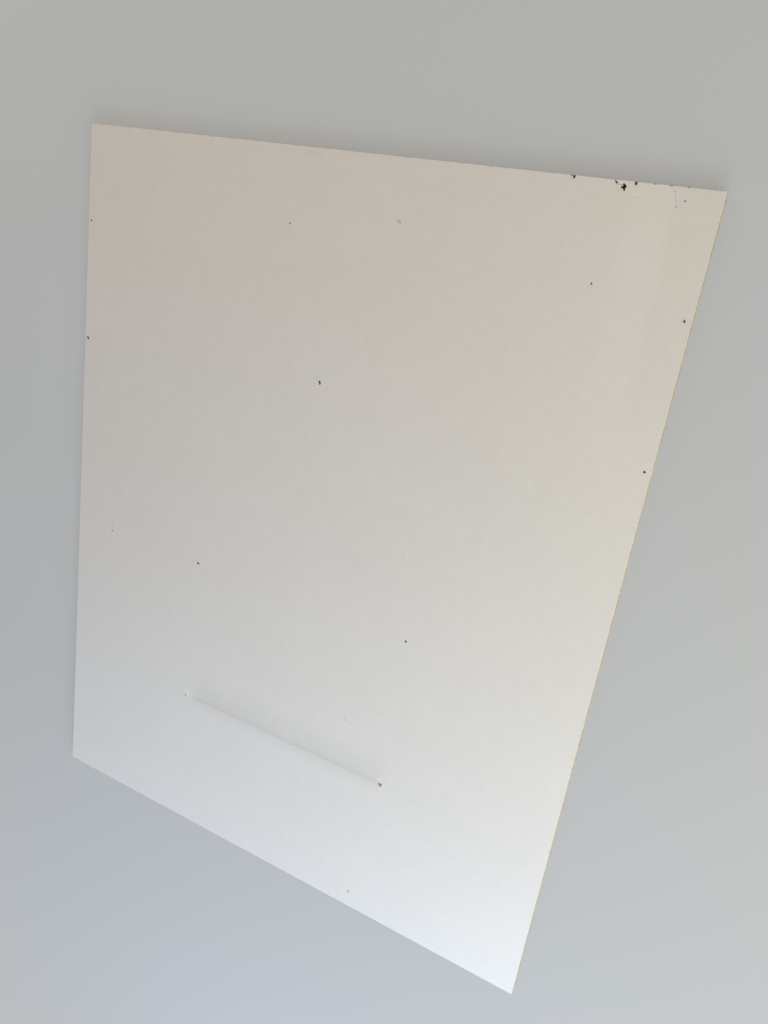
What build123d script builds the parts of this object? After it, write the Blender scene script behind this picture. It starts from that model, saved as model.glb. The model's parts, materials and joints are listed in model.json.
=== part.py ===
from build123d import *
import os

# White-faced chipboard sheet, lying on its back face with the good face up.
# Millimetres. The origin is the middle of the back face, +X runs across the sheet,
# +Y along it towards the chipped end, and +Z out of the good face.
# Places on the good face are given from the sheet's bottom left corner.

# Sheet
sheet_width = 1220.0
sheet_length = 1520.0
sheet_thickness = 18.0
corner_radius = 1.0
arris = 0.4

# Screws that held the sheet: one hole size for all of them
screw_hole_radius = 1.75

# Side screws, in two lines along the long edges: inset from the nearer edge,
# height of the line's middle, and spacing of its two holes
left_line_inset = 8.0
left_line_height = 1214.0
left_line_spacing = 242.0
right_line_inset = 11.0
right_line_height = 1219.5
right_line_spacing = 235.0

# Rail screws, two columns and two rows; the lower two are torn open to a crater
rail_columns_middle = 607.5
rail_rows_middle = 501.0
rail_column_spacing = 509.0
rail_row_spacing = 334.0
crater_radius = 4.0
crater_angle = 120.0

# Middle screw, levered out downwards, so that its mouth is a short upright slot
middle_hole_place = (600.0, 1119.0)
middle_hole_radius = 1.6
middle_slot_length = 7.0
middle_slot_depth = 8.0

# Facing torn from the lower left side screw out over the left edge
side_tear_overrun = 6.0
side_tear_rise = 3.5
side_tear_widths = (2.5, 4.0)
side_tear_depth = 1.2

# Facing torn to the left of the upper left rail screw
rail_tear_length = 6.0
rail_tear_drop = 0.4
rail_tear_widths = (3.2, 2.0)
rail_tear_depth = 0.6

# Floor of a torn pit, as a share of its mouth
pit_floor_share = 0.6

# Hooked breakout near the right end of the top edge, and the dash that leads to it
hook_outline = [
    (1072.0, 1515.8),
    (1076.5, 1515.2),
    (1080.0, 1512.2),
    (1078.6, 1506.6),
    (1075.2, 1506.8),
    (1075.0, 1509.4),
    (1070.6, 1509.0),
    (1075.4, 1512.6),
]
hook_depth = 7.0
dash_start = (1060.6, 1519.2)
dash_end = (1065.2, 1514.6)
dash_widths = (2.6, 2.2)
dash_depth = 3.0

# Notches that break the top arris: place along the edge, width, reach into the face, depth
edge_notches = [
    (993.5, 3.0, 1.6, 1.5),
    (998.5, 4.4, 4.4, 3.0),
    (1092.2, 3.8, 6.0, 7.0),
    (1119.5, 3.2, 1.4, 1.5),
    (1142.0, 3.2, 1.4, 1.5),
    (1167.0, 3.2, 1.4, 1.5),
]

# Nail pricks in the good face: x, y and radius of each, and one depth
nail_pricks = [
    (497.0, 1389.5, 1.2),
    (1060.5, 1369.5, 0.8),
    (1059.5, 1367.4, 0.8),
    (644.0, 1356.0, 0.6),
    (1156.0, 1492.0, 1.2),
    (1166.0, 1501.0, 0.8),
    (583.0, 1509.4, 0.6),
    (761.0, 446.0, 0.6),
    (102.5, 668.0, 1.2),
    (101.5, 680.0, 1.2),
]
prick_depth = 2.5


def from_corner(x, y):
    """Turn a place given from the sheet's bottom left corner into one from its middle."""
    return (x - sheet_width / 2, y - sheet_length / 2)


def ragged_outline(corners, share, height):
    """Draw an outline at a height, drawn in towards its middle to a share of its size."""
    places = [from_corner(x, y) for x, y in corners]
    middle_x = sum(x for x, _ in places) / len(places)
    middle_y = sum(y for _, y in places) / len(places)
    drawn_in = [
        (middle_x + share * (x - middle_x), middle_y + share * (y - middle_y))
        for x, y in places
    ]
    with BuildSketch(Plane.XY.offset(height)) as outline:
        with BuildLine():
            Polyline(*drawn_in, close=True)
        make_face()
    return outline.sketch


def torn_pit(corners, depth):
    """Cut a pit with sloping walls into the good face."""
    mouth = ragged_outline(corners, 1.0, sheet_thickness)
    floor = ragged_outline(corners, pit_floor_share, sheet_thickness - depth)
    loft([mouth, floor], ruled=True, mode=Mode.SUBTRACT)


def torn_streak(start, end, widths, depth):
    """Cut a straight streak into the good face, from one place and width to another."""
    along = (Vector(*end) - Vector(*start)).normalized()
    across = Vector(-along.Y, along.X)
    torn_pit(
        [
            tuple(place + across * side * width / 2)[:2]
            for place, width, side in (
                (Vector(*start), widths[0], 1),
                (Vector(*start), widths[0], -1),
                (Vector(*end), widths[1], -1),
                (Vector(*end), widths[1], 1),
            )
        ],
        depth,
    )


def edge_notch(x, width, reach, depth):
    """Cut a pointed notch with sloping walls where the good face meets the top edge."""
    shoulder = sheet_length - reach / 2
    beyond_edge = sheet_length + reach
    torn_pit(
        [
            (x - width / 2, beyond_edge),
            (x - width / 2, shoulder),
            (x, sheet_length - reach),
            (x + width / 2, shoulder),
            (x + width / 2, beyond_edge),
        ],
        depth,
    )


with BuildPart() as chipboard_sheet:
    # Blank: sawn to size, with its corners knocked and its arrises rubbed down
    with BuildSketch():
        RectangleRounded(sheet_width, sheet_length, corner_radius)
    extrude(amount=sheet_thickness)
    good_rim = chipboard_sheet.faces().sort_by(Axis.Z)[-1].edges()
    back_rim = chipboard_sheet.faces().sort_by(Axis.Z)[0].edges()
    chamfer(good_rim + back_rim, length=arris)

    # Side screw holes, right through
    left_line = from_corner(left_line_inset, left_line_height)
    right_line = from_corner(sheet_width - right_line_inset, right_line_height)
    with Locations((*left_line, sheet_thickness)):
        with GridLocations(1, left_line_spacing, 1, 2):
            Hole(radius=screw_hole_radius)
    with Locations((*right_line, sheet_thickness)):
        with GridLocations(1, right_line_spacing, 1, 2):
            Hole(radius=screw_hole_radius)

    # Rail screw holes: plain in the upper row, with a crater in the lower row
    rail_left = rail_columns_middle - rail_column_spacing / 2
    rail_top = rail_rows_middle + rail_row_spacing / 2
    upper_row = from_corner(rail_columns_middle, rail_top)
    lower_row = from_corner(rail_columns_middle, rail_top - rail_row_spacing)
    with Locations((*upper_row, sheet_thickness)):
        with GridLocations(rail_column_spacing, 1, 2, 1):
            Hole(radius=screw_hole_radius)
    with Locations((*lower_row, sheet_thickness)):
        with GridLocations(rail_column_spacing, 1, 2, 1):
            CounterSinkHole(
                radius=screw_hole_radius,
                counter_sink_radius=crater_radius,
                counter_sink_angle=crater_angle,
            )

    # Middle screw hole, and the slot that the screw tore below it
    middle_hole = from_corner(*middle_hole_place)
    slot_middle_drop = middle_slot_length / 2 - middle_hole_radius
    with Locations((*middle_hole, sheet_thickness)):
        Hole(radius=middle_hole_radius)
    with BuildSketch(Plane.XY.offset(sheet_thickness)):
        with Locations((middle_hole[0], middle_hole[1] - slot_middle_drop)):
            SlotOverall(middle_slot_length, 2 * middle_hole_radius, rotation=90)
    extrude(amount=-middle_slot_depth, mode=Mode.SUBTRACT)

    # Facing torn away beside two of the screws
    lower_left_screw = left_line_height - left_line_spacing / 2
    torn_streak(
        (left_line_inset, lower_left_screw),
        (-side_tear_overrun, lower_left_screw + side_tear_rise),
        side_tear_widths,
        side_tear_depth,
    )
    torn_streak(
        (rail_left, rail_top),
        (rail_left - rail_tear_length, rail_top - rail_tear_drop),
        rail_tear_widths,
        rail_tear_depth,
    )

    # Breakouts along the top edge
    torn_pit(hook_outline, hook_depth)
    torn_streak(dash_start, dash_end, dash_widths, dash_depth)
    for place, width, reach, depth in edge_notches:
        edge_notch(place, width, reach, depth)

    # Nail pricks
    for x, y, prick_radius in nail_pricks:
        with Locations((*from_corner(x, y), sheet_thickness)):
            Hole(radius=prick_radius, depth=prick_depth)

chipboard_sheet.part.label = "chipboard_sheet"

os.makedirs("parts", exist_ok=True)
export_step(chipboard_sheet.part, "parts/chipboard_sheet.step")
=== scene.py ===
import json
import math

import bmesh
import bpy
from mathutils import Euler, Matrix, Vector

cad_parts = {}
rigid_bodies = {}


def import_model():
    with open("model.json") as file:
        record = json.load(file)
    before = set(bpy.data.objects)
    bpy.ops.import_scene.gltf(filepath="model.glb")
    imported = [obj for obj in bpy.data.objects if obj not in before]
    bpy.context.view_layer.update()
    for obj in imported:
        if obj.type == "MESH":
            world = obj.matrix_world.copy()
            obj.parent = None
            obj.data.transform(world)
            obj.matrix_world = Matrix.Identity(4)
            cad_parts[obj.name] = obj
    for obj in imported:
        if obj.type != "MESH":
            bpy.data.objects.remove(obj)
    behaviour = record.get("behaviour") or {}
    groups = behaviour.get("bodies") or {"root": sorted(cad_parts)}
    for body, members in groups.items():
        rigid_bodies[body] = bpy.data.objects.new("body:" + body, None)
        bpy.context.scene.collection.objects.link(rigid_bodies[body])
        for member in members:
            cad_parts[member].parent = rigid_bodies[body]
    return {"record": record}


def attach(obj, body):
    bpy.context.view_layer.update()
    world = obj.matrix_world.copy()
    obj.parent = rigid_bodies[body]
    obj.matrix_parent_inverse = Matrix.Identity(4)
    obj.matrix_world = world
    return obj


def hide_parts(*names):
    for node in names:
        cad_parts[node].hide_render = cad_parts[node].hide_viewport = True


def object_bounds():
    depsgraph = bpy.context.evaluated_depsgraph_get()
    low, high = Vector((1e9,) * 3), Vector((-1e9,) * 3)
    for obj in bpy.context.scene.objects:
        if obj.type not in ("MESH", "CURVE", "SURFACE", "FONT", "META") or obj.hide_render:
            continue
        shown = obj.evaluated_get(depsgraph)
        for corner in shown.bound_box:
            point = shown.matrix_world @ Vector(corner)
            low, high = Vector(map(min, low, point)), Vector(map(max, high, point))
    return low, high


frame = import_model()
cad_low, cad_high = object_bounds()

# Sheet, as the frame has it: X across, Y along towards the chipped end, Z out of the good face
width = cad_high.x - cad_low.x
length = cad_high.y - cad_low.y
thickness = cad_high.z - cad_low.z
MM = 0.001

# How far an edge may stray from an axis, how near a border counts as on it, and how upright
# the normal of a broad face is
stray = 1e-6
touch = 1e-5
uprightness = 0.9

# Material slots: the good face has the first, and the holes and hollows have those after the sides'
back_slot = 1
side_slot = 2

# Corners and arrises, and the ring of faces beside them: cells, columns and rows
corner_radius = 1.0 * MM
corner_steps = 3
arris = 0.4 * MM
rim_margin = arris * 1.05
ring_width = 1.3 * MM
ring_reach = 1.1 * ring_width
cell_size = 61.0 * MM
whole_cell = 0.95 * cell_size
column = 1.56 * MM
edge_rows = 17
# Room that a breakout of an edge gets on either side
clearance = 1.0 * MM

# Relief of the sawn sides and the chipped arrises
void_length = 5.0 * MM
void_height = 1.5 * MM
void_depth = 0.8 * MM
fibre_length = 2.6 * MM
fibre_height = 0.9 * MM
fibre_depth = 0.22 * MM
chip_length = 7.0 * MM
chip_depth = 0.4 * MM

# Screw holes: their radii, the faces round them and the cuts along them, how much wider and how
# deep their mouths are, how far a drill overshoots, and the plug in the lower rail holes
screw_radius = 1.75 * MM
middle_radius = 1.6 * MM
hole_sides = 18
hole_cuts = 12
mouth_share = 1.08
mouth_depth = 1.5 * MM
overshoot = 2.0 * MM
plug = 2.0 * MM
# How ragged holes and hollows are, as a share of their size, and how even that is
hole_raggedness = 0.12
pit_raggedness = 0.08
evenness = 0.6
# Grain and reach of the large and the small bumps on a hollow's lump, by its radius, and how much
# further the lump of each hollow is turned about each axis, in radians
bumps_of_lump = ((1.1, 0.9), (0.3, 0.35))
tumbles = (("X", 2.4), ("Y", 3.9), ("Z", 1.7))

# Camera, where it sees the sheet as the photograph does
camera_place = (0.7409, 0.6142, 1.2958)
camera_turn_degrees = (-14.1925, 26.8643, 9.6533)
camera_lens = 27.71


def at(x_mm, y_mm):
    """A place on the good face, given in millimetres from the sheet's bottom left corner."""
    return Vector((x_mm * MM - width / 2, y_mm * MM - length / 2, thickness))


def alone(piece):
    """Make a piece the only selected one."""
    bpy.ops.object.select_all(action="DESELECT")
    piece.select_set(True)
    bpy.context.view_layer.objects.active = piece


def open_up(piece):
    """Put a piece alone in edit mode."""
    alone(piece)
    bpy.ops.object.mode_set(mode="EDIT")


def close_up():
    """Leave edit mode."""
    bpy.ops.object.mode_set(mode="OBJECT")


def choose(piece, kind, rule=None):
    """Select those vertices, edges or faces that pass a rule, or all of them."""
    bpy.ops.mesh.select_mode(type=kind)
    bpy.ops.mesh.select_all(action="DESELECT")
    shape = bmesh.from_edit_mesh(piece.data)
    for item in {"VERT": shape.verts, "EDGE": shape.edges, "FACE": shape.faces}[kind]:
        if rule is None or rule(item):
            item.select_set(True)
    bmesh.update_edit_mesh(piece.data)


def runs(edge, axis, least):
    """Whether an edge runs along an axis for at least a length."""
    span = edge.verts[0].co - edge.verts[1].co
    aside = sum(abs(span[k]) for k in range(3) if k != axis)
    return abs(span[axis]) > least and aside < stray


# Modelling the sheet

def blank():
    """A slab of the sheet's size, cut into cells, with a narrow ring of faces along every edge."""
    bpy.ops.object.select_all(action="DESELECT")
    bpy.ops.mesh.primitive_cube_add(size=1)
    piece = bpy.context.object
    piece.name = "faced_sheet"
    open_up(piece)
    choose(piece, "VERT")
    bpy.ops.transform.resize(value=(width, length, thickness), center_override=(0, 0, 0))
    bpy.ops.transform.translate(value=(0, 0, thickness / 2))
    for axis, span in ((0, width), (1, length)):
        choose(piece, "EDGE", lambda e: runs(e, axis, span / 2))
        bpy.ops.mesh.subdivide(number_cuts=round(span / cell_size) - 1)
    choose(piece, "EDGE", lambda e: runs(e, 2, 0) and at_corner(e.verts[0].co))
    bpy.ops.mesh.bevel(offset=corner_radius, segments=corner_steps, affect="EDGES")
    for side in (1, -1):
        choose(piece, "FACE", lambda f: f.normal.z * side > uprightness)
        bpy.ops.mesh.inset(thickness=ring_width, depth=0, use_boundary=True, use_even_offset=True)
    choose(piece, "EDGE", on_rim)
    bpy.ops.mesh.bevel(offset=arris, segments=1, affect="EDGES")
    for axis, place in torn_limits():
        choose(piece, "FACE")
        bpy.ops.mesh.bisect(
            plane_co=[place if k == axis else 0 for k in range(3)],
            plane_no=[1 if k == axis else 0 for k in range(3)],
        )
    close_up()
    return piece


def torn_limits():
    """Where, along X or Y, each breakout of an edge begins and ends."""
    limits = []
    for x, y, across, along, *_ in torn_open + notched + crushed:
        middle = at(x, y)
        reach = (across * MM + clearance, along * MM + clearance)
        if abs(middle.y) + along * MM > length / 2:
            limits += [(0, middle.x - reach[0]), (0, middle.x + reach[0])]
        elif abs(middle.x) + across * MM > width / 2:
            limits += [(1, middle.y - reach[1]), (1, middle.y + reach[1])]
    return limits


def at_corner(place):
    """Whether a place is on one of the sheet's four corners."""
    return abs(place.x) > width / 2 - touch and abs(place.y) > length / 2 - touch


def on_rim(edge):
    """Whether an edge lies where a side meets a broad face."""
    up = [abs(f.normal.z) > uprightness for f in edge.link_faces]
    return len(up) == 2 and up[0] != up[1]


def columns(edge):
    """How many columns an edge along the border is divided into, or 0 for another edge."""
    for axis, half in ((0, length / 2), (1, width / 2)):
        in_ring = all(abs(v.co[1 - axis]) > half - ring_reach for v in edge.verts)
        if runs(edge, axis, 2 * column) and in_ring:
            span = edge.calc_length()
            return round(cell_size / column) if span > whole_cell else round(span / column)
    return 0


def up_a_side(edge):
    """Whether an edge runs up a side, from one arris to the other."""
    return runs(edge, 2, thickness / 2) and near_border(edge.verts[0].co, corner_radius)


def refine_edges(piece):
    """Divide all that runs along the border into narrow columns, and the sides into rows."""
    open_up(piece)
    counts = {columns(e) for e in bmesh.from_edit_mesh(piece.data).edges} - {0}
    for count in sorted(counts):
        choose(piece, "EDGE", lambda e: columns(e) == count)
        bpy.ops.mesh.subdivide(number_cuts=count - 1)
    choose(piece, "EDGE", up_a_side)
    bpy.ops.mesh.subdivide(number_cuts=edge_rows - 1)
    close_up()


def group_of(piece, name, rule):
    """Name the vertices that pass a rule."""
    group = piece.vertex_groups.new(name=name)
    group.add([v.index for v in piece.data.vertices if rule(v)], 1.0, "REPLACE")
    return group.name


def clouds(name, dark, light, layers, grain=1.0):
    """A cloud texture that is black below one level and white above another."""
    texture = bpy.data.textures.new(name, type="CLOUDS")
    texture.noise_scale = grain
    texture.noise_depth = layers
    texture.use_color_ramp = True
    for element, place, shade in zip(texture.color_ramp.elements, (dark, light), (0.0, 1.0)):
        element.position = place
        element.color = (shade, shade, shade, 1)
    return texture


def wear_in(piece, texture, group, depth, across, up):
    """Sink a group's vertices where a texture of that grain is dark."""
    bpy.ops.object.empty_add()
    grain = bpy.context.object
    grain.scale = (across, across, up)
    bpy.context.view_layer.update()
    alone(piece)
    sunk = piece.modifiers.new(texture.name, "DISPLACE")
    sunk.texture = texture
    sunk.texture_coords = "OBJECT"
    sunk.texture_coords_object = grain
    sunk.vertex_group = group
    sunk.mid_level = 1.0
    sunk.strength = depth
    bpy.ops.object.modifier_apply(modifier=sunk.name)
    bpy.data.objects.remove(grain)


def roughen_edges(piece):
    """Open the voids between the particles in the sawn sides, and chip the arrises."""
    torn = {i for p in piece.data.polygons if p.material_index > side_slot for i in p.vertices}
    sawn = group_of(piece, "sawn", lambda v: v.index not in torn and on_sawn_side(v.co))
    voids = clouds("voids", dark=0.36, light=0.46, layers=1)
    wear_in(piece, voids, sawn, void_depth, void_length, void_height)
    fibres = clouds("fibres", dark=0.25, light=0.75, layers=2)
    wear_in(piece, fibres, sawn, fibre_depth, fibre_length, fibre_height)
    rims = group_of(piece, "rims", lambda v: v.index not in torn and on_arris(v.co))
    chips = clouds("chips", dark=0.28, light=0.38, layers=3)
    wear_in(piece, chips, rims, chip_depth, chip_length, chip_length)
    piece.vertex_groups.clear()


def near_border(place, margin):
    """Whether a place, seen from above, is within a margin of the sheet's border."""
    return abs(place.x) > width / 2 - margin or abs(place.y) > length / 2 - margin


def on_sawn_side(place):
    """Whether a place is on a side, between its two arrises."""
    return near_border(place, corner_radius) and rim_margin < place.z < thickness - rim_margin


def on_arris(place):
    """Whether a place is on the arris above or below a side."""
    at_rim = place.z < rim_margin or place.z > thickness - rim_margin
    return at_rim and near_border(place, rim_margin)


def cutter(piece, seed, raggedness, finish):
    """Finish a cutter: make its skin ragged, and name the material of the faces that it leaves."""
    open_up(piece)
    choose(piece, "VERT")
    bpy.ops.transform.vertex_random(offset=raggedness, uniform=evenness, normal=0.0, seed=seed)
    bpy.ops.mesh.normals_make_consistent(inside=False)
    close_up()
    piece.data.materials.append(bpy.data.materials[finish])
    return piece


def drill(place, radius, top, seed):
    """A cutter for a screw hole from below up to a height, crumbled at its mouth."""
    middle = (place.x, place.y, (top - overshoot) / 2)
    bpy.ops.mesh.primitive_cylinder_add(
        vertices=hole_sides, radius=radius, depth=top + overshoot, location=middle
    )
    piece = bpy.context.object
    bpy.ops.object.transform_apply()
    open_up(piece)
    choose(piece, "EDGE", lambda e: runs(e, 2, thickness / 2))
    bpy.ops.mesh.subdivide(number_cuts=hole_cuts)
    choose(piece, "VERT", lambda v: v.co.z > thickness - mouth_depth)
    bpy.ops.transform.resize(value=(mouth_share, mouth_share, 1), center_override=place)
    close_up()
    return cutter(piece, seed, radius * hole_raggedness, "torn_chipboard")


def nugget():
    """A ragged lump of about radius 1, of which every torn hollow is a squeezed copy."""
    bpy.ops.object.select_all(action="DESELECT")
    bpy.ops.mesh.primitive_ico_sphere_add(subdivisions=3, radius=1.0, location=(0, 0, 0))
    piece = bpy.context.object
    for grain, reach in bumps_of_lump:
        swollen = piece.modifiers.new("lumps", "DISPLACE")
        swollen.texture = clouds("lumps", dark=0.0, light=1.0, layers=2, grain=grain)
        swollen.texture_coords = "LOCAL"
        swollen.strength = reach
        bpy.ops.object.modifier_apply(modifier=swollen.name)
    return piece


def pit(lump, place, radii, depth, turn_degrees, finish, seed):
    """A cutter for a ragged hollow in the good face: a copy of the lump, turned its own way."""
    piece = lump.copy()
    piece.data = lump.data.copy()
    bpy.context.collection.objects.link(piece)
    open_up(piece)
    choose(piece, "VERT")
    for axis, tumble in tumbles:
        bpy.ops.transform.rotate(value=seed * tumble, orient_axis=axis, center_override=(0, 0, 0))
    size = (radii[0] * MM, radii[1] * MM, depth * MM)
    bpy.ops.transform.resize(value=size, center_override=(0, 0, 0))
    turn = -math.radians(turn_degrees)
    bpy.ops.transform.rotate(value=turn, orient_axis="Z", center_override=(0, 0, 0))
    bpy.ops.transform.translate(value=place)
    close_up()
    return cutter(piece, seed, min(*radii, depth) * pit_raggedness * MM, finish)


def screw_places():
    """Where the frame's record puts the screw holes, mount by mount."""
    places = {}
    for mount in frame["record"]["mounts"]:
        if "screw" not in mount["name"]:
            continue
        x, y, _ = mount["pos_m"]
        size = mount["dims"]
        across = size.get("spacing_x_mm", 0) * MM / 2
        along = size.get("spacing_y_mm", 0) * MM / 2
        places[mount["name"]] = [
            Vector((x + i * across, y + j * along, thickness))
            for i in ((-1, 1) if across else (0,))
            for j in ((-1, 1) if along else (0,))
        ]
    return places


# Hollows in the good face: place, two radii, depth and turn, in millimetres and degrees
torn_open = [
    (601.2, 1117.3, 1.9, 4.1, 8.0, 9),
    (356.0, 667.2, 1.8, 1.6, 3.4, -30),
    (1074.9, 1514.7, 1.5, 1.4, 2.2, 0),
    (1076.2, 1512.5, 2.2, 2.2, 5.0, 0),
    (1075.5, 1510.8, 2.8, 1.9, 6.0, 10),
    (1073.3, 1509.7, 1.9, 1.2, 2.8, 20),
    (1076.8, 1508.4, 1.8, 2.0, 5.5, 0),
    (1077.5, 1506.5, 1.2, 1.2, 2.6, 0),
    (1078.3, 1511.9, 1.6, 2.1, 3.2, 20),
    (1063.4, 1516.3, 2.4, 1.3, 2.8, -50),
    (1091.9, 1519.0, 1.5, 2.7, 5.4, 0),
    (1092.3, 1516.4, 1.1, 1.5, 3.2, 0),
    (998.6, 1518.6, 1.8, 3.1, 3.8, 0),
    (9.2, 1092.0, 2.4, 3.1, 6.0, 20),
]
crevices = [
    (858.5, 335.3, 0.8, 1.4, 2.0, 10),
    (864.7, 335.7, 1.5, 0.7, 2.2, -54),
    (865.5, 332.6, 0.8, 0.9, 2.0, 0),
    (348.3, 334.2, 1.2, 0.6, 2.0, -40),
]
notched = [
    (994.4, 1520.2, 2.3, 1.9, 2.2, 0),
    (1119.5, 1520.2, 2.6, 1.7, 1.9, 0),
    (1142.2, 1520.2, 2.2, 1.8, 1.9, 0),
    (1167.2, 1520.3, 1.9, 1.9, 1.8, 0),
]
crushed = [
    (349.2, 333.4, 3.7, 1.9, 1.0, -36),
    (351.6, 332.2, 1.7, 1.4, 0.8, 20),
    (346.9, 335.4, 1.5, 1.2, 0.6, 0),
    (861.4, 334.4, 4.4, 3.7, 1.3, -20),
    (859.0, 336.6, 2.6, 2.0, 0.9, 30),
    (864.2, 331.8, 2.6, 1.5, 0.9, 10),
    (864.8, 336.9, 1.9, 2.3, 0.8, -30),
    (352.2, 669.5, 2.1, 1.2, 0.5, -30),
    (5.8, 1095.0, 2.4, 1.2, 0.5, -38),
    (1061.4, 1518.4, 2.4, 1.2, 0.8, -40),
    (1070.8, 1514.0, 1.8, 0.9, 0.6, 10),
    (1092.0, 1518.0, 2.6, 3.2, 0.7, 0),
    (998.3, 1518.0, 2.5, 3.2, 0.8, 0),
    (1156.3, 1491.9, 1.5, 1.1, 0.3, 0),
    (1149.4, 1512.6, 0.8, 1.3, 0.3, 0),
    (1059.7, 1367.4, 0.9, 1.4, 1.4, 0),
]
# Flakes beside the tears: bright paper, partly a painted highlight on lifted lips of the facing
peeled_and_highlit = [
    (355.2, 335.2, 4.2, 2.1, 0.35, -43),
    (353.2, 332.6, 1.8, 1.0, 0.3, -30),
    (867.6, 335.2, 1.7, 3.3, 0.35, -10),
    (866.6, 331.0, 1.3, 1.9, 0.3, 20),
    (865.0, 328.8, 1.3, 0.8, 0.25, 0),
    (1070.4, 1515.9, 1.8, 0.8, 0.25, -10),
    (1069.8, 1511.6, 1.2, 0.8, 0.25, -30),
]
nail_pricks = [
    (497.2, 1389.2, 1.4, 1.8, 2.5, 0),
    (1060.7, 1369.5, 1.4, 1.4, 2.5, 0),
    (643.8, 1355.8, 0.55, 0.6, 1.8, 0),
    (1166.6, 1500.9, 1.2, 1.3, 2.5, 0),
    (582.9, 1509.4, 0.5, 0.5, 1.6, 0),
    (760.4, 446.2, 1.1, 1.1, 1.8, 0),
    (102.5, 668.0, 1.6, 2.0, 2.5, 0),
    (101.5, 680.0, 1.2, 1.5, 2.4, 0),
]


def cut(piece):
    """Drill the screw holes and tear out the hollows."""
    cutters = []
    lump = nugget()
    for name, places in screw_places().items():
        for place in places:
            radius = middle_radius if name.startswith("middle") else screw_radius
            plugged = name.startswith("rail") and place.y < -length / 4
            top = thickness - plug if plugged else thickness + overshoot
            cutters.append(drill(place, radius, top, len(cutters)))
    for hollows, finish in (
        (torn_open, "torn_chipboard"),
        (crevices, "crushed_chipboard"),
        (nail_pricks, "torn_chipboard"),
        (notched, "broken_arris"),
        (crushed, "crushed_chipboard"),
        (peeled_and_highlit, "peeled_facing_and_highlight"),
    ):
        for x, y, across, along, depth, turn in hollows:
            cutters.append(pit(lump, at(x, y), (across, along), depth, turn, finish, len(cutters)))
    kit = bpy.data.collections.new("cutters")
    for tool in cutters:
        kit.objects.link(tool)
    alone(piece)
    taken = piece.modifiers.new("cut", "BOOLEAN")
    taken.operation = "DIFFERENCE"
    taken.operand_type = "COLLECTION"
    taken.collection = kit
    taken.solver = "EXACT"
    taken.use_self = True
    taken.material_mode = "TRANSFER"
    bpy.ops.object.modifier_apply(modifier=taken.name)
    for tool in (*cutters, lump):
        bpy.data.objects.remove(tool)
    bpy.data.collections.remove(kit)
    drop_crumbs(piece)


def drop_crumbs(piece):
    """Delete what the cutting left loose, which is all that isn't joined to a side of the sheet."""
    open_up(piece)
    outer = width / 2 - corner_radius
    choose(piece, "VERT", lambda v: abs(v.co.x) > outer and v.co.z < thickness / 2)
    bpy.ops.mesh.select_linked()
    bpy.ops.mesh.select_all(action="INVERT")
    bpy.ops.mesh.delete(type="VERT")
    close_up()


# Materials

# Half the height of a spot or line, in metres: so much that height doesn't matter
endless = 1000.0


class Wire:
    """An output of a node, which Python expressions can work with."""

    def __init__(self, nodes, socket):
        self.nodes = nodes
        self.socket = socket

    def math(self, operation, *others):
        """Work on this value and others."""
        values = dict(enumerate((self, *others)))
        return self.nodes.node("ShaderNodeMath", {"operation": operation}, values)

    def __add__(self, other):
        return self.math("ADD", other)

    __radd__ = __add__

    def __sub__(self, other):
        return self.math("SUBTRACT", other)

    def __rsub__(self, other):
        return self.nodes.node("ShaderNodeMath", {"operation": "SUBTRACT"}, {0: other, 1: self})

    def __mul__(self, other):
        return self.math("MULTIPLY", other)

    __rmul__ = __mul__

    def __truediv__(self, other):
        return self.math("DIVIDE", other)

    def __abs__(self):
        return self.math("ABSOLUTE")

    def highest(self, other):
        """The higher of two values."""
        return self.math("MAXIMUM", other)

    def lowest(self, other):
        """The lower of two values."""
        return self.math("MINIMUM", other)

    def rise(self, start, end):
        """0 below start and 1 above end, with a smooth rise, or a fall where start is the larger."""
        if start > end:
            return 1 - self.rise(end, start)
        return self.nodes.node(
            "ShaderNodeMapRange",
            {"interpolation_type": "SMOOTHSTEP"},
            {"Value": self, "From Min": start, "From Max": end},
        )

    def between(self, coming, going):
        """A rise and then a fall, each given by its start and end."""
        return self.rise(*coming) * self.rise(*going)


class Nodes:
    """A node tree in the making."""

    def __init__(self, tree):
        self.tree = tree
        self.tree.nodes.clear()

    def node(self, kind, settings=None, values=None, out=0):
        """Add a node: first its settings, then the values or links of its sockets."""
        made = self.tree.nodes.new(kind)
        for name, value in (settings or {}).items():
            if name == "stops":
                set_stops(made.color_ramp, value)
            else:
                setattr(made, name, value)
        for name, value in (values or {}).items():
            if isinstance(value, Wire):
                self.tree.links.new(value.socket, made.inputs[name])
            else:
                made.inputs[name].default_value = value
        return Wire(self, made.outputs[out]) if made.outputs else None

    def seen(self):
        """1 where the camera, a reflection or a clear material looks, and 0 for the light itself."""
        ray = self.node("ShaderNodeLightPath").socket.node.outputs
        camera_ray = Wire(self, ray["Is Camera Ray"])
        glossy_ray = Wire(self, ray["Is Glossy Ray"])
        through_ray = Wire(self, ray["Is Transmission Ray"])
        return camera_ray.highest(glossy_ray).highest(through_ray)


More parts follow.
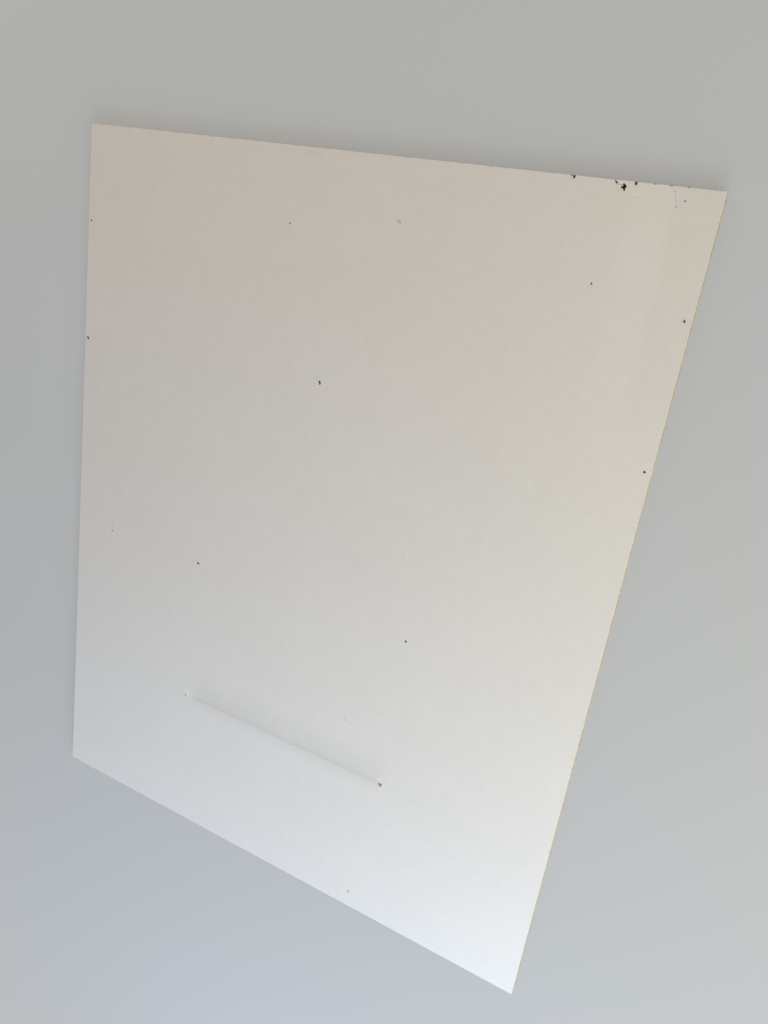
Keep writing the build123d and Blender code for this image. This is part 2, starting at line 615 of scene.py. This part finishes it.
class Finish(Nodes):
    """A material in the making, with places on the sheet in millimetres."""

    def __init__(self, name):
        self.material = bpy.data.materials.new(name)
        self.material.use_nodes = True
        super().__init__(self.material.node_tree)
        self.where = self.node("ShaderNodeTexCoord", out="Object")
        split = self.node("ShaderNodeSeparateXYZ", values={0: self.where}).socket.node
        across, along, up = (Wire(self, socket) for socket in split.outputs)
        self.x = (across + width / 2) / MM
        self.y = (along + length / 2) / MM
        self.z = up / MM

    def stretched(self, across, up):
        """Coordinates in grains of that size, in millimetres."""
        scale = (1 / across / MM, 1 / across / MM, 1 / up / MM)
        return self.vector("MULTIPLY", self.where, scale)

    def noise(self, size, detail=2.0, roughness=0.5, up=None, out=0):
        """Noise of a size in millimetres, and of another size up the thickness if one is given."""
        return self.node(
            "ShaderNodeTexNoise",
            values={
                "Vector": self.stretched(size, up or size),
                "Scale": 1.0,
                "Detail": detail,
                "Roughness": roughness,
            },
            out=out,
        )

    def vector(self, operation, *values, out=0):
        """Work on colours or vectors."""
        return self.node(
            "ShaderNodeVectorMath", {"operation": operation}, dict(enumerate(values)), out=out
        )

    def blend(self, share, under, over, kind="MIX"):
        """Lay one colour over another by a share."""
        settings = {"data_type": "RGBA", "blend_type": kind}
        return self.node("ShaderNodeMix", settings, {0: share, 6: under, 7: over}, out=2)

    def ramp(self, level, stops):
        """A colour that goes from stop to stop with a level."""
        return self.node("ShaderNodeValToRGB", {"stops": stops}, {0: level})

    def fray(self, grain, reach):
        """Make the outlines of spots wander, by a grain and a reach in millimetres."""
        wander = self.noise(grain, out="Color")
        centred = self.vector("SUBTRACT", wander, (0.5, 0.5, 0.5))
        self.frayed = self.vector("MULTIPLY_ADD", centred, (reach * MM, reach * MM, 0), self.where)

    def drawn(self, source, x, y, across, along, turn):
        """Coordinates in which an ellipse on the face is a circle of radius 1, at any height."""
        return self.node(
            "ShaderNodeMapping",
            {"vector_type": "TEXTURE"},
            {
                "Vector": source,
                "Location": (x * MM - width / 2, y * MM - length / 2, 0),
                "Rotation": (0, 0, math.radians(turn)),
                "Scale": (across * MM, along * MM, endless),
            },
        )

    def fade(self, place, soft, share):
        """A share near the middle of such coordinates, falling to 0 at radius 1."""
        radius = self.vector("LENGTH", place, out="Value")
        return self.node(
            "ShaderNodeMapRange",
            {"interpolation_type": "SMOOTHSTEP"},
            {"Value": radius, "From Min": 1.0 - soft, "From Max": 1.0, "To Min": share, "To Max": 0.0},
        )

    def spot(self, x, y, across, along, turn, soft, share):
        """A soft ellipse on the face."""
        return self.fade(self.drawn(self.frayed, x, y, across, along, turn), soft, share)

    def stroke(self, start, end, half_width, share):
        """A soft straight line on the face."""
        (ax, ay), (bx, by) = start, end
        reach = math.hypot(bx - ax, by - ay) / 2 / half_width
        turn = math.degrees(math.atan2(by - ay, bx - ax))
        place = self.drawn(self.where, (ax + bx) / 2, (ay + by) / 2, half_width, half_width, turn)
        past_end = self.vector("SUBTRACT", self.vector("ABSOLUTE", place), (reach, 0, 0))
        return self.fade(self.vector("MAXIMUM", past_end, (0, 0, 0)), 1.0, share)

    def finish(self, colour, roughness, height, distance, specular):
        """Join the shader up and close the material."""
        relief = {"Strength": 1.0, "Distance": distance, "Height": height}
        bump = self.node("ShaderNodeBump", values=relief)
        shader = self.node(
            "ShaderNodeBsdfPrincipled",
            values={
                "Base Color": colour,
                "Roughness": roughness,
                "Normal": bump,
                "Specular IOR Level": specular,
            },
        )
        self.node("ShaderNodeOutputMaterial", values={"Surface": shader})
        return self.material


def set_stops(ramp, stops):
    """Give a colour ramp its stops."""
    while len(ramp.elements) < len(stops):
        ramp.elements.new(0.5)
    for element, (place, colour) in zip(ramp.elements, stops):
        element.position = place
        element.color = colour


def paint(red, green, blue):
    """A colour as a screen shows it, 0 to 255, turned into light by the sRGB curve."""
    def light(level):
        level /= 255
        return level / 12.92 if level <= 0.04045 else ((level + 0.055) / 1.055) ** 2.4

    return (light(red), light(green), light(blue), 1.0)


facing_white = paint(221, 215, 211)
# Bright paper white, also used for painted highlights
paper_white_and_highlight = paint(247, 246, 243)
facing_core = paint(226, 224, 219)
grime = paint(118, 108, 96)
shelf_grime = paint(112, 94, 100)
# Near-black painted shade for the insides of holes and hollows
painted_shade_black = paint(30, 26, 23)
crushed_pale = paint(204, 201, 198)
# Dark grey of crushed pulp, also used as painted shade in its hollows
crushed_grey_and_shade = paint(118, 114, 110)
straw = paint(207, 193, 169)
pale_straw = paint(222, 212, 193)
wood = paint(188, 169, 143)
bark = paint(137, 112, 86)
dark_bark = paint(106, 82, 60)
# Dark brown painted shade for the voids in the sides and for broken arrises
void_shade_brown = paint(62, 48, 37)
floor_grey = paint(186, 187, 188)
backdrop_grey = paint(190, 191, 192)

# Shades of the particles, along a random value of 0 to 1 that each of them has
particle_shades = [
    (0.0, dark_bark),
    (0.05, bark),
    (0.16, wood),
    (0.45, straw),
    (0.80, pale_straw),
    (0.96, wood),
]

# How strongly smooth, fibrous and rough finishes shine, and how deep their bumps are
smooth_specular = 0.25
fibrous_specular = 0.3
rough_specular = 0.2
smooth_bumps = 0.02 * MM
fibrous_bumps = 0.15 * MM
rough_bumps = 0.35 * MM

# Marks on the good face: place, half sizes, turn, softness and share
grime_spots = [
    (714.6, 1419.4, 7.2, 3.6, -8, 1.0, 0.38),
    (718.6, 1417.4, 3.6, 3.2, -30, 1.0, 0.36),
    (598.4, 1118.6, 4.4, 4.0, 0, 1.0, 0.32),
    (831.3, 37.2, 4.4, 4.4, 0, 1.0, 0.72),
    (625.3, 93.8, 3.4, 3.0, 0, 1.0, 0.10),
    (504.8, 263.4, 3.4, 3.0, 0, 1.0, 0.10),
    (9.0, 1092.6, 4.6, 4.0, -38, 1.0, 0.30),
    (1066.8, 1514.6, 5.6, 3.4, -20, 1.0, 0.30),
    (1073.0, 1511.6, 4.6, 4.2, 0, 1.0, 0.30),
    (999.0, 1516.4, 3.6, 4.0, 0, 1.0, 0.26),
    (1092.2, 1515.8, 3.6, 4.6, 0, 1.0, 0.26),
    (861.0, 333.6, 7.5, 6.0, -30, 1.0, 0.16),
    (349.0, 333.4, 5.0, 3.0, -34, 1.0, 0.26),
    (353.4, 668.4, 4.4, 2.4, -20, 1.0, 0.20),
    (863.0, 668.2, 4.0, 4.2, 0, 1.0, 0.44),
    (1207.0, 1338.8, 4.2, 3.8, 0, 1.0, 0.20),
    (1207.0, 1103.0, 4.0, 3.8, 0, 1.0, 0.18),
    (102.0, 674.0, 2.2, 9.0, 0, 1.0, 0.08),
]
warm_spots = [
    (827.7, 833.9, 2.6, 9.0, 4, 1.0, 0.35),
    (532.0, 1507.8, 24.0, 6.0, 0, 0.7, 0.20),
]
# Pale patches: the two above the rail holes are cleaner face, and the one below the right rail hole's
# tear is a painted highlight on its lifted rim
pale_spots = [
    (859.0, 347.0, 7.0, 9.0, 10, 1.0, 0.30),
    (864.6, 325.6, 5.0, 6.0, 0, 1.0, 0.22),
    (352.0, 346.0, 5.0, 7.0, 8, 1.0, 0.20),
]
# Lines and scratches: start, end, half width and share
shelf_line = ((372, 335.5), (852, 335.5), 7.0, 0.055)
grey_lines = [
    ((300, 334.5), (1185, 334.5), 2.2, 0.025),
    ((484, 658.5), (690, 658.5), 2.6, 0.03),
    ((1150.2, 1512.0), (1156.8, 1492.6), 1.4, 0.24),
    ((1047.0, 1498.5), (1106.0, 1498.5), 1.1, 0.09),
    ((1062.0, 1503.5), (1086.0, 1503.0), 0.9, 0.08),
]
pale_lines = [
    ((1147.4, 1511.0), (1154.0, 1492.6), 1.2, 0.22),
    ((1151.8, 1511.4), (1158.4, 1492.6), 1.2, 0.18),
    ((1056.0, 1501.0), (1098.0, 1501.0), 1.4, 0.09),
]
# Shelf line: its height, how far its edge wanders, and where its two ends fade
shelf_height = 334.5
shelf_wander = 3.0
shelf_ends = ((360, 396), (880, 842))
# Heights from the shelf line over which the dirt above it, and a fringe on it, come and go
shelf_shade = ((-7.0, 6.0), (88, -6))
shelf_fringe = ((-32, -10), (22, -10))
# Where the paler band's two sides fade, where the darker strip beyond it starts, and where both end
# below
band_sides = ((1076, 1096), (1158, 1142))
strip_side = (1150, 1166)
band_foot = (1120, 1240)
# How wide the back's dirty rim is
dirty_rim = 9
# Depths over which an arris goes over to raw chipboard
chipped_depths = (0.10, 0.24)


def particles(f, across, up):
    """Pressed wood particles of about that size, each of its own shade, with seams between them."""
    wander = f.noise(across * 0.7, detail=3.0, up=up * 0.7, out="Color")
    place = f.vector("MULTIPLY_ADD", wander, (1.1, 1.1, 1.1), f.stretched(across, up))
    cells = {"Vector": place, "Scale": 1.0, "Randomness": 1.0}
    cell = f.node("ShaderNodeTexVoronoi", {"feature": "F1"}, cells, out="Color")
    seam = f.node("ShaderNodeTexVoronoi", {"feature": "DISTANCE_TO_EDGE"}, cells)
    shade = f.node("ShaderNodeSeparateXYZ", values={0: cell})
    return f.blend(seam.rise(0.10, 0.0) * 0.35, f.ramp(shade, particle_shades), bark)


def raw_wood(f):
    """Fine wood where a chip of the facing is gone."""
    return f.blend(f.noise(1.1).rise(0.42, 0.58), wood, pale_straw)


def uneven_white(f, cloud_size, cloud_share, mottle_size):
    """The facing's white, slightly uneven at four sizes, with the mottle and the grain in it."""
    cloud = f.noise(cloud_size, detail=3.0, roughness=0.55) - 0.5
    mottle = f.noise(mottle_size) - 0.5
    speckle = f.noise(8.0) - 0.5
    grain = f.noise(2.4, roughness=0.6) - 0.5
    tone = 1.0 + cloud * cloud_share + mottle * 0.05 + speckle * 0.055 + grain * 0.05
    return f.blend(1.0, facing_white, tone, "MULTIPLY"), mottle, grain


def finish_facing(f, colour, gloss, depth):
    """Show raw chipboard where the arris lost its facing, and close a facing's material."""
    chipped = depth.rise(*chipped_depths)
    colour = f.blend(chipped, colour, raw_wood(f))
    bumps = f.noise(1.7) + f.noise(9.0, detail=1.0) * 0.8
    return f.finish(colour, gloss + chipped * 0.4, bumps, smooth_bumps, smooth_specular)


def white_facing():
    """White facing of the good face, with what years of use left on it."""
    f = Finish("white_facing")
    f.fray(grain=3.0, reach=2.4)
    colour, mottle, grain = uneven_white(f, cloud_size=240.0, cloud_share=0.035, mottle_size=26.0)
    # Paler band near the right edge, and the darker strip beyond it
    upper = f.y.rise(*band_foot)
    band = f.x.between(*band_sides) * upper
    beyond = f.x.rise(*strip_side) * upper
    # Shelf line, with dirt that fades out far above it and just below it
    above = f.y - shelf_height - mottle * shelf_wander
    along_shelf = f.x.between(*shelf_ends)
    shade = above.between(*shelf_shade) * along_shelf
    fringe = above.between(*shelf_fringe) * along_shelf
    shelf_dirt = shade * 0.105 + fringe * 0.045 + f.stroke(*shelf_line)
    # Grime, pale patches and stains
    film = sum((f.spot(*mark) for mark in grime_spots), beyond * 0.02)
    film = sum((f.stroke(*mark) for mark in grey_lines), film)
    pale = sum((f.spot(*mark) for mark in pale_spots), band * 0.06)
    pale = sum((f.stroke(*mark) for mark in pale_lines), pale)
    warm = sum(f.spot(*mark) for mark in warm_spots)
    # Pale patches and lines, one of them a painted highlight
    colour = f.blend(pale.lowest(1.0), colour, paper_white_and_highlight)
    colour = f.blend(warm, colour, straw)
    colour = f.blend(shelf_dirt, colour, shelf_grime)
    colour = f.blend(film.lowest(0.8), colour, grime)
    gloss = 0.50 + grain * 0.08 + mottle * 0.05 + (film + shelf_dirt) * 0.35
    return finish_facing(f, colour, gloss, thickness / MM - f.z)


def back_facing():
    """Plain white facing of the back, with faint scuffs, and dirtier towards its rim."""
    f = Finish("back_facing")
    colour, _, grain = uneven_white(f, cloud_size=210.0, cloud_share=0.04, mottle_size=31.0)
    scuffs = f.noise(60.0, detail=4.0, roughness=0.62).rise(0.58, 0.70) * f.noise(9.0).rise(0.45, 0.6)
    by_side = f.x.rise(dirty_rim, 0).highest(f.x.rise(width / MM - dirty_rim, width / MM))
    by_end = f.y.rise(dirty_rim, 0).highest(f.y.rise(length / MM - dirty_rim, length / MM))
    film = scuffs * 0.10 + by_side.highest(by_end) * 0.12
    colour = f.blend(film, colour, grime)
    return finish_facing(f, colour, 0.44 + grain * 0.08 + film * 0.4, f.z)


def sawn_chipboard():
    """Sawn side: fine particles by the facings, coarse ones in the core, and two white lines."""
    f = Finish("sawn_chipboard")
    fine = particles(f, 1.5, 0.42)
    coarse = f.blend(0.4, particles(f, 4.6, 0.95), particles(f, 1.9, 0.55))
    depth = (thickness / MM / 2) - abs(f.z - thickness / MM / 2)
    core = (depth + (f.noise(3.0) - 0.5) * 1.6).rise(2.4, 4.2)
    colour = f.blend(core, fine, coarse)
    gaps = f.noise(3.4, detail=3.0, roughness=0.6, up=0.8).rise(0.40, 0.33) * core
    # Painted shade: dark brown in the voids between the particles, where the bump sinks them
    colour = f.blend(gaps * 0.85, colour, void_shade_brown)
    fibre = f.noise(1.3, detail=3.0, roughness=0.65, up=0.22) - 0.5
    colour = f.blend(1.0, colour, 1.0 + fibre * 0.5, "MULTIPLY")
    grey_with_age = f.noise(90.0, detail=3.0).rise(0.35, 0.75) * 0.16
    colour = f.blend(grey_with_age, colour, grime)
    skin = (depth + (f.noise(1.2) - 0.5) * 0.12).rise(0.36, 0.26)
    colour = f.blend(skin, colour, facing_core)
    height = f.noise(1.5, detail=3.0, roughness=0.6, up=0.5) - gaps
    return f.finish(colour, 0.85 - skin * 0.35, height, fibrous_bumps, fibrous_specular)


def torn_chipboard():
    """Broken chipboard inside holes and hollows, with painted shade that darkens it from just below
    the mouth.
    """
    f = Finish("torn_chipboard")
    deep = (thickness / MM - f.z).rise(0.0, 0.9)
    splinters = f.noise(0.7, detail=3.0, roughness=0.65, up=0.35)
    # Painted shade: a share of near-black, half at the mouth and more with depth, stands in for the
    # shadow inside the hole
    dark = 0.50 + deep * 0.42 - splinters.rise(0.52, 0.70) * 0.30
    colour = f.blend(dark, particles(f, 1.3, 0.5), painted_shade_black)
    return f.finish(colour, 0.9, splinters, rough_bumps, rough_specular)


def broken_arris():
    """Raw chipboard where the arris is broken away, darkened in blotches by painted shade."""
    f = Finish("broken_arris")
    splinters = f.noise(0.9, detail=3.0, roughness=0.65, up=0.4)
    # Painted shade: dark brown blotches keep the notches dark, as a break lying in shadow
    colour = f.blend(0.30 + splinters.rise(0.60, 0.42) * 0.45, particles(f, 1.5, 0.5), void_shade_brown)
    return f.finish(colour, 0.9, splinters, rough_bumps, rough_specular)


def crushed_chipboard():
    """Chipboard crushed to a grey, fluffy pulp round a screw that was pulled out, with painted shade
    that darkens it with depth.
    """
    f = Finish("crushed_chipboard")
    clump = f.noise(1.3, detail=3.0, roughness=0.6).rise(0.35, 0.62)
    deep = (thickness / MM - f.z).rise(0.1, 1.4)
    fibre = f.noise(0.45, detail=3.0, roughness=0.7) - 0.5
    colour = f.blend(0.70, particles(f, 1.1, 0.5), crushed_pale)
    # Darker grey in random clumps of pulp, and painted shade that grows with depth
    colour = f.blend(clump * 0.35 + deep * 0.45, colour, crushed_grey_and_shade)
    colour = f.blend(1.0, colour, 1.0 + fibre * 0.7, "MULTIPLY")
    return f.finish(colour, 0.95, clump * 0.5 + fibre, rough_bumps, rough_specular)


def peeled_facing_and_highlight():
    """Bright paper core of the facing where its skin flaked off, partly a painted highlight on lifted
    lips of the facing.
    """
    f = Finish("peeled_facing_and_highlight")
    fibre = f.noise(0.6, detail=3.0, roughness=0.65) - 0.5
    patch = f.noise(2.0, detail=3.0, roughness=0.6).rise(0.56, 0.70)
    colour = f.blend(patch * 0.35, paper_white_and_highlight, pale_straw)
    colour = f.blend(1.0, colour, 1.0 + fibre * 0.16, "MULTIPLY")
    return f.finish(colour, 0.85, fibre, fibrous_bumps, fibrous_specular)


def dress(piece):
    """Give the broad faces and the sides their own materials."""
    parts = (
        (white_facing(), lambda f: f.normal.z > uprightness),
        (back_facing(), lambda f: f.normal.z < -uprightness),
        (sawn_chipboard(), lambda f: abs(f.normal.z) <= uprightness),
    )
    for material, _ in parts:
        piece.data.materials.append(material)
    open_up(piece)
    for slot, (_, rule) in enumerate(parts):
        choose(piece, "FACE", rule)
        piece.active_material_index = slot
        bpy.ops.object.material_slot_assign()
    close_up()


# Baking map: the good face and all that is cut into it fill most of it, the back is
# squeezed into a strip beside it, and each side has a narrow strip of its own
good_strip = (0.003, 0.800)
back_strip = (0.806, 0.100)
# Where each side's strip starts, by the axis that the side runs along and the way it faces
side_strips = {(0, 1): 0.910, (0, -1): 0.933, (1, 1): 0.956, (1, -1): 0.979}
side_strip_width = 0.018
map_foot = 0.002
map_height = 0.996
# An upright wall would have no area there, so it is drawn in towards its hole's middle with depth
wall_share = 0.35
wall_reach = 1.2 * MM


def lay_out(piece):
    """Lay the faces out on a map for baking."""
    layer = piece.data.uv_layers.new(name="OFBake")
    for face in piece.data.polygons:
        n = face.normal
        along_x = abs(n.y) > abs(n.x)
        facing_side = (0, 1 if n.y > 0 else -1) if along_x else (1, 1 if n.x > 0 else -1)
        for loop in face.loop_indices:
            vertex = piece.data.vertices[piece.data.loops[loop].vertex_index]
            place = vertex.co
            if face.material_index > side_slot:
                place = place + vertex.normal * min((thickness - place.z) * wall_share, wall_reach)
            u, v = place.x / width + 0.5, place.y / length + 0.5
            if face.material_index == side_slot:
                left = side_strips[facing_side] + side_strip_width * place.z / thickness
                up = u if along_x else v
            else:
                foot, span = back_strip if face.material_index == back_slot else good_strip
                left = foot + span * u
                up = v
            layer.data[loop].uv = (left, map_foot + map_height * min(max(up, 0.0), 1.0))
    piece.data.uv_layers.active = layer


# Studio

# Floor: its width in metres, the size of its clouds in millimetres and their strength, and the
# distances in metres over which it goes over to the backdrop
floor_width = 60
floor_clouds = 700.0
floor_cloud_share = 0.02
backdrop_reach = (0.9, 3.0)
# Light from all round, and the lamps: one width, and name, place, colour and radiance of each
fill_colour = (1.0, 0.85, 0.82, 1)
fill_strength = 0.22
lamp_width = 2.0
lamps = [
    ("daylight", (1.0, -2.49, 1.2), (0.54, 0.73, 1.0), 7.3),
    ("sky_fill", (-1.0, -2.0, 1.2), (0.62, 0.90, 1.0), 0.62),
    ("side_fill", (2.12, -0.19, 1.2), (1.0, 0.95, 0.64), 2.83),
    ("warm_fill", (-1.18, 2.06, 1.2), (1.0, 0.87, 0.55), 1.33),
]


def floor():
    """A wide pale floor: half lit and half the backdrop's own grey, and far away all that grey."""
    bpy.ops.object.select_all(action="DESELECT")
    bpy.ops.mesh.primitive_plane_add(size=floor_width, location=(0, 0, 0))
    piece = bpy.context.object
    piece.name = "floor"
    f = Finish("floor")
    tone = 1.0 + (f.noise(floor_clouds) - 0.5) * floor_cloud_share
    near = f.node(
        "ShaderNodeBsdfPrincipled",
        values={
            "Base Color": f.blend(1.0, floor_grey, tone, "MULTIPLY"),
            "Roughness": 0.9,
            "Specular IOR Level": rough_specular,
        },
    )
    far = f.node("ShaderNodeEmission", values={"Color": backdrop_grey, "Strength": 1.0})
    metres = f.vector("LENGTH", f.where, out="Value")
    share = (metres.rise(*backdrop_reach) * 0.5 + 0.5) * f.seen()
    surface = f.node("ShaderNodeMixShader", values={0: share, 1: near, 2: far})
    f.node("ShaderNodeOutputMaterial", values={"Surface": surface})
    piece.data.materials.append(f.material)


def soft_lamp(name, place, colour, radiance):
    """A square lamp that faces the sheet's middle."""
    data = bpy.data.lights.new(name, "AREA")
    data.shape = "SQUARE"
    data.size = lamp_width
    data.color = colour
    data.energy = radiance * lamp_width * lamp_width * math.pi
    lamp = bpy.data.objects.new(name, data)
    bpy.context.scene.collection.objects.link(lamp)
    lamp.location = place
    lamp.rotation_euler = (-Vector(place)).to_track_quat("-Z", "Y").to_euler()
    lamp.visible_camera = False


def studio():
    """Cool daylight from the sheet's foot, and warm light thrown back from its side and head."""
    world = bpy.data.worlds.new("studio")
    bpy.context.scene.world = world
    world.use_nodes = True
    w = Nodes(world.node_tree)
    fill = w.node("ShaderNodeBackground", values={"Color": fill_colour, "Strength": fill_strength})
    backdrop = w.node("ShaderNodeBackground", values={"Color": backdrop_grey, "Strength": 1.0})
    mixed = w.node("ShaderNodeMixShader", values={0: w.seen(), 1: fill, 2: backdrop})
    w.node("ShaderNodeOutputWorld", values={"Surface": mixed})
    for lamp in lamps:
        soft_lamp(*lamp)


def camera():
    """The camera, at the photograph's place and angle."""
    data = bpy.data.cameras.new("camera")
    data.lens = camera_lens
    eye = bpy.data.objects.new("camera", data)
    bpy.context.scene.collection.objects.link(eye)
    eye.location = camera_place
    eye.rotation_euler = Euler([math.radians(a) for a in camera_turn_degrees])
    bpy.context.scene.camera = eye


sheet = blank()
dress(sheet)
for made in (torn_chipboard, broken_arris, crushed_chipboard, peeled_facing_and_highlight):
    made()
cut(sheet)
refine_edges(sheet)
roughen_edges(sheet)
lay_out(sheet)
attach(sheet, "root")
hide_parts("chipboard_sheet")
floor()
studio()
camera()
bpy.context.scene.view_settings.view_transform = "Standard"
